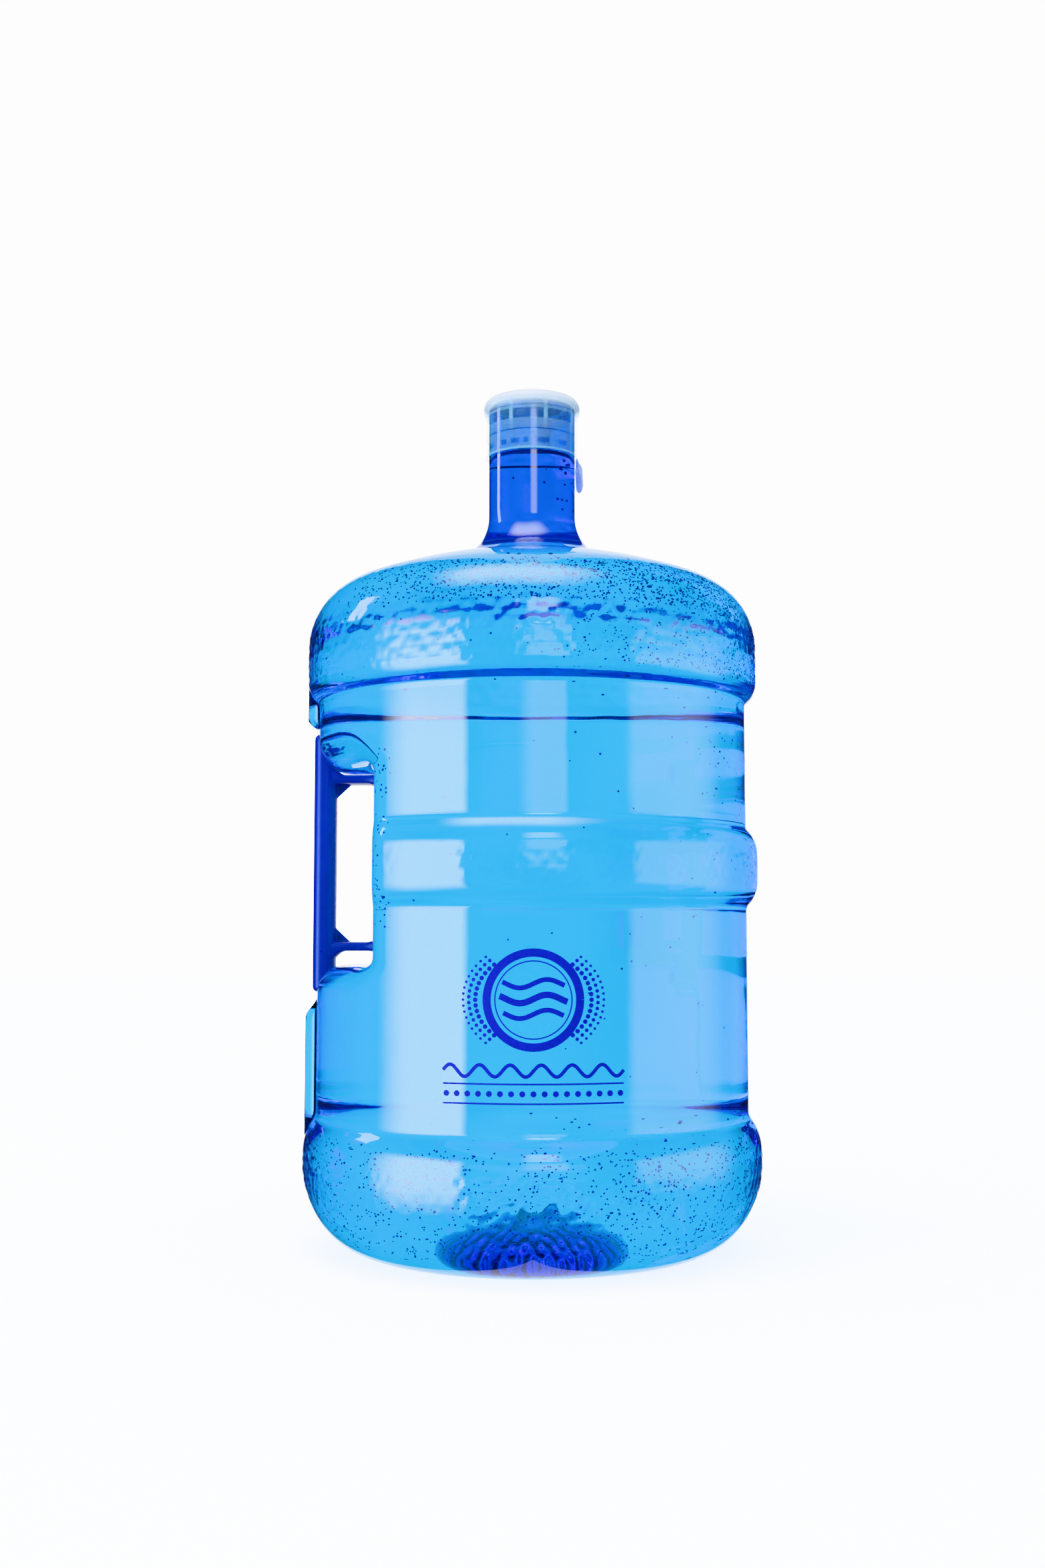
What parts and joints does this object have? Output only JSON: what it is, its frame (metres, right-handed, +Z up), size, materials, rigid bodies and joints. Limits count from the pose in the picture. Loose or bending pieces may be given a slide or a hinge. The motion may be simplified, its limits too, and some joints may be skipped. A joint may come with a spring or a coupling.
{
  "type": "water jug",
  "caption": "Tall round transparent water jug with banded walls, a clip-in side handle in a through pocket and a push-on non-spill cap with a tear-off band.",
  "frame": {"origin": "centre of the foot ring, on the plane that the jug stands on", "axes": "+Z up along the jug's axis, handle on the -X side, the cap's pull tab on the +X side"},
  "size_m": [0.272, 0.272, 0.513],
  "materials": {
    "bottle": "clear blue-tinted polyester, polished",
    "handle": "solid blue moulded polypropylene, satin gloss",
    "cap": "natural translucent polyethylene, satin",
    "foam": "white foamed polyethylene",
    "plug": "white moulded polyethylene",
    "label": "plain white film label",
    "print": "dark blue screen-printed ink",
    "water": "clear water, the jug's contents"
  },
  "bodies": {
    "jug": {"jug_body": "bottle", "handle": "handle"},
    "cap": {"cap_shell": "cap", "tear_band": "cap", "sealing_gasket": "foam", "dust_label": "label"},
    "pull_tab": {"pull_tab": "cap"},
    "probe_plug": {"probe_plug": "plug"}
  },
  "joints": [
    {"name": "cap_lift", "type": "slide", "parent": "jug", "child": "cap", "axis": [0, 0, 1], "range_m": [0, 0.06]},
    {"name": "pull_tab_bend", "type": "hinge", "parent": "cap", "child": "pull_tab", "pos_m": [0.02765, 0, 0.4747], "axis": [0, -1, 0], "range_deg": [0, 100], "stiffness_Nm_per_rad": 0.002},
    {"name": "probe_plug_push", "type": "slide", "parent": "cap", "child": "probe_plug", "axis": [0, 0, -1], "range_m": [0, 0.03]}
  ]
}
